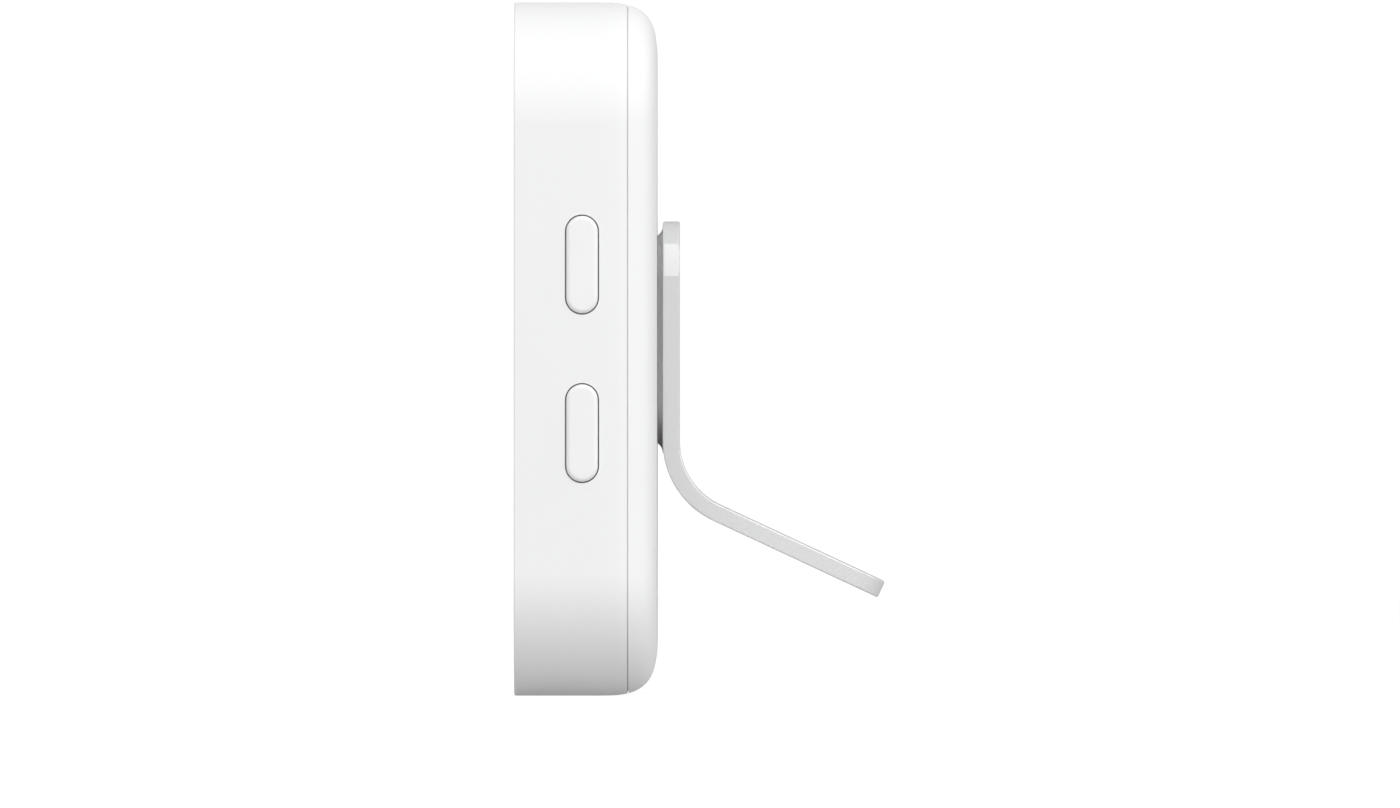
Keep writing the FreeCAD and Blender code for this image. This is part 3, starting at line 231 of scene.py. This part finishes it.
def dark_plastic(name, tone):
    """Plain black moulded plastic."""
    look = Look(name).set(Specular_IOR_Level=0.4)
    grain = look.noise(scale=1900.0, detail=2.0)
    look.colour(look.noise(scale=60.0), shade(tone, amount=0.7), tone)
    look.rough(grain, low=0.42, high=0.58)
    look.bump(grain, height_mm=0.006, strength=0.4)
    return look.material


def frosted_plastic(name):
    """Milky light-guide plastic."""
    look = Look(name).set(IOR=1.49, Subsurface_Weight=0.35, Subsurface_Scale=0.002)
    look.set(Coat_Weight=0.15, Coat_Roughness=0.2)
    look.colour(look.noise(scale=90.0), *FROSTS)
    look.rough(look.noise(scale=900.0), low=0.28, high=0.4)
    return look.material


def clear_glass(name):
    """Cover glass with the faintest smear in its tint. Only camera rays meet it: all other light passes."""
    look = Look(name).set(IOR=1.5, Transmission_Weight=1.0, Roughness=0.0)
    smear = look.noise(scale=26.0, detail=4.0, roughness=0.6, stretch=(1, 1, 2.4))
    look.colour(smear, *GLASS_TINTS)
    to_camera = look.node("ShaderNodeLightPath").outputs["Is Camera Ray"]
    nothing = look.node("ShaderNodeBsdfTransparent").outputs["BSDF"]
    split_by_camera(look.tree, to_camera, hidden=nothing, seen=look.shader.outputs["BSDF"])
    return look.material


def coated_lens(name):
    """Dark camera lens with a faint violet bloom and a sharp highlight."""
    look = Look(name).set(Specular_IOR_Level=0.9, Coat_Weight=1.0, Coat_Roughness=0.02)
    bloom = look.noise(scale=420.0, detail=1.0)
    look.colour(bloom, *LENS_BLOOMS)
    look.rough(bloom, low=0.04, high=0.1, reach=WHOLE)
    return look.material


def glass_ink(name):
    """Screen-printed black border."""
    look = Look(name).set(Specular_IOR_Level=0.05)
    look.colour(look.noise(scale=420.0), *INKS)
    look.rough(look.noise(scale=700.0), low=0.3, high=0.42)
    return look.material


def dark_display(name):
    """Switched-off display: near-black with a faint blue cast and a very fine grid of dots."""
    look = Look(name).set(Specular_IOR_Level=0.1)
    dots = look.span(look.cells(scale=3600.0), low=0.0, high=1.0, reach=(0.0, 0.6))
    look.colour(dots, *DISPLAY_BLUES)
    look.rough(look.noise(scale=300.0), low=0.14, high=0.18)
    return look.material


def metal(name, tone, low=0.22, high=0.38, stretch=ALONG_X):
    """Brushed or rolled metal."""
    look = Look(name).set(Metallic=1.0)
    lines = look.noise(scale=260.0, detail=4.0, stretch=stretch)
    look.colour(lines, shade(tone, amount=0.82), tone)
    look.rough(lines, low, high)
    look.bump(lines, height_mm=0.006, strength=0.3)
    return look.material


def rubber(name, tone):
    """Matt rubber or foam."""
    look = Look(name).set(Specular_IOR_Level=0.25, Sheen_Weight=0.15, Sheen_Roughness=0.5)
    pores = look.cells(scale=1500.0)
    look.colour(pores, shade(tone, amount=0.75), tone)
    look.rough(pores, low=0.7, high=0.9, reach=(0.0, 0.8))
    look.bump(pores, height_mm=0.02, strength=0.5)
    return look.material


def circuit_board(name):
    """Green solder mask with copper tracks showing through."""
    look = Look(name).set(Coat_Weight=0.4, Coat_Roughness=0.15)
    tracks = look.node("ShaderNodeTexBrick")
    tracks.inputs["Scale"].default_value = 240.0
    tracks.inputs["Color1"].default_value = opaque(SOLDER_MASKS[0])
    tracks.inputs["Color2"].default_value = opaque(SOLDER_MASKS[1])
    tracks.inputs["Mortar"].default_value = opaque(MASKED_TRACK)
    look.link(look.coords, tracks.inputs["Vector"])
    look.link(tracks.outputs["Color"], look.shader.inputs["Base Color"])
    look.rough(look.noise(scale=400.0), low=0.3, high=0.45, reach=WHOLE)
    look.bump(tracks.outputs["Fac"], height_mm=0.02, strength=0.4)
    return look.material


def amber_film(name):
    """Polyimide flex."""
    look = Look(name).set(Coat_Weight=0.3)
    lines = look.noise(scale=900.0, stretch=(30, 1, 1))
    look.colour(lines, *AMBERS)
    look.rough(lines, low=0.2, high=0.35, reach=WHOLE)
    return look.material


def woven(name):
    """Fine dust cloth."""
    look = Look(name)
    texture = look.node("ShaderNodeTexWave", wave_type="BANDS", bands_direction="DIAGONAL")
    texture.inputs["Scale"].default_value = 900.0
    look.link(look.coords, texture.inputs["Vector"])
    weave = texture.outputs["Fac"]
    look.colour(weave, *CLOTHS)
    look.rough(weave, low=0.7, high=0.95, reach=WHOLE)
    look.bump(weave, height_mm=0.05, strength=0.6)
    return look.material


def unlit_resin(name):
    """Clear yellowish resin of an unlit diode."""
    look = Look(name).set(Coat_Weight=0.6)
    look.colour(look.noise(scale=600.0), *RESINS)
    look.rough(look.noise(scale=400.0), low=0.15, high=0.3, reach=WHOLE)
    return look.material


# ------------------------------------------------------------ assign to the frame


def materials():
    """One procedural material for each slot."""
    return {
        "white_shell": satin_plastic("White_Casing", WHITE),
        # the stand's tone is painted shade: darker than the casing's white
        "white_stand": glossy_moulding("Shaded_White_Stand", STAND_SHADED_WHITE),
        "white_key": satin_plastic("White_Key", KEY_WHITE),
        "translucent_white": frosted_plastic("Frosted_White"),
        "grey_rubber": rubber("Grey_Rubber", GREY),
        "cover_glass": clear_glass("Cover_Glass"),
        "black_print": glass_ink("Glass_Ink"),
        "black_foam": rubber("Black_Foam", FOAM_BLACK),
        "display_black": dark_display("Dark_Display"),
        "pressed_steel": metal("Pressed_Steel", SHEET_STEEL),
        "screw_steel": metal("Screw_Steel", SCREW_STEEL, stretch=EVEN),
        "socket_steel": metal("Socket_Steel", SOCKET_STEEL, low=0.18, high=0.3, stretch=ALONG_Y),
        "amber_film": amber_film("Amber_Film"),
        "black_plastic": dark_plastic("Black_Plastic", PLASTIC_BLACK),
        "lens_glass": coated_lens("Lens_Glass"),
        "circuit_board": circuit_board("Circuit_Board"),
        "light_emitter": unlit_resin("Diode_Resin"),
        "brass": metal("Brass", BRASS),
        "chip_black": dark_plastic("Chip_Black", CHIP_BLACK),
        "ivory_plastic": satin_plastic("Ivory_Plastic", IVORY),
        "battery_foil": metal("Battery_Foil", FOIL, low=0.28, high=0.42, stretch=EVEN),
        "speaker_paper": dark_plastic("Speaker_Paper", PAPER_BLACK),
        "black_cloth": woven("Dust_Cloth"),
    }


def dress():
    """Gives every CAD node the material of its slot."""
    made = materials()
    for part in frame["record"]["subparts"]:
        mesh = NODES[part["node"]].data
        mesh.materials.clear()
        mesh.materials.append(made[part["material_slot"]])


# ------------------------------------------------------------ studio


def floor_material():
    """Pale matt floor that gives off a little light, and more of it towards the camera."""
    look = Look("Floor_White")
    look.set(Base_Color=opaque(FLOOR_TONE), Roughness=0.9, Specular_IOR_Level=0.0)
    look.set(Emission_Color=opaque(FULL_WHITE), Emission_Strength=FLOOR_OWN_LIGHT)
    glow = look.node("ShaderNodeEmission")
    glow.inputs["Strength"].default_value = FLOOR_GLOW
    path = look.node("ShaderNodeLightPath")
    share = look.node("ShaderNodeMath", operation="MULTIPLY")
    share.inputs[1].default_value = FLOOR_GLOW_SHARE
    look.link(path.outputs["Is Camera Ray"], share.inputs[0])
    split_by_camera(look.tree, share.outputs["Value"], hidden=look.shader.outputs["BSDF"],
                    seen=glow.outputs["Emission"])
    return look.material


def floor():
    """Plain pale floor that meets the white background without an edge."""
    half = FLOOR_SIZE / 2
    corners = [(x, y, FLOOR_Z) for x, y in ((-half, -half), (half, -half), (half, half), (-half, half))]
    mesh = bpy.data.meshes.new("Floor")
    mesh.from_pydata(corners, [], [(0, 1, 2, 3)])
    mesh.materials.append(floor_material())
    plane = bpy.data.objects.new("Floor", mesh)
    bpy.context.scene.collection.objects.link(plane)


def sky():
    """White to look at, gentler as a light."""
    world = bpy.data.worlds.new("Studio")
    world.use_nodes = True
    bpy.context.scene.world = world
    tree = world.node_tree
    background = tree.nodes["Background"]
    background.inputs["Color"].default_value = opaque(FULL_WHITE)
    path = tree.nodes.new("ShaderNodeLightPath")
    level = tree.nodes.new("ShaderNodeMapRange")
    level.inputs["To Min"].default_value = SKY_AS_LIGHT
    level.inputs["To Max"].default_value = SKY_SEEN
    tree.links.new(path.outputs["Is Camera Ray"], level.inputs["Value"])
    tree.links.new(level.outputs["Result"], background.inputs["Strength"])


def softbox(name, place, size, power):
    """Large soft light, aimed at the body's middle."""
    light = bpy.data.lights.new(name, "AREA")
    light.shape = "RECTANGLE"
    light.size, light.size_y = size
    light.energy = power
    lamp = bpy.data.objects.new(name, light)
    bpy.context.scene.collection.objects.link(lamp)
    lamp.location = place
    lamp.rotation_euler = (Vector(AIM) - lamp.location).to_track_quat("-Z", "Y").to_euler()


def camera():
    """Level view of the key side, through a lens so long that nothing tapers."""
    data = bpy.data.cameras.new("Camera")
    data.sensor_width = SENSOR_MM
    data.lens = LENS_MM
    data.clip_start = CLIP_NEAR
    data.clip_end = CLIP_FAR
    distance = VIEW_WIDTH * LENS_MM / SENSOR_MM
    key_side = CAD_BOX[1].x
    lens = bpy.data.objects.new("Camera", data)
    bpy.context.scene.collection.objects.link(lens)
    lens.location = (key_side + distance, VIEW_CENTRE_Y, VIEW_CENTRE_Z)
    lens.rotation_euler = (math.radians(90), 0, math.radians(90))
    bpy.context.scene.camera = lens


def studio():
    """Floor, surroundings, lights and camera."""
    bpy.context.scene.view_settings.view_transform = "Standard"
    floor()
    sky()
    for name, lamp in LAMPS.items():
        softbox(name, **lamp)
    camera()


dress()
studio()
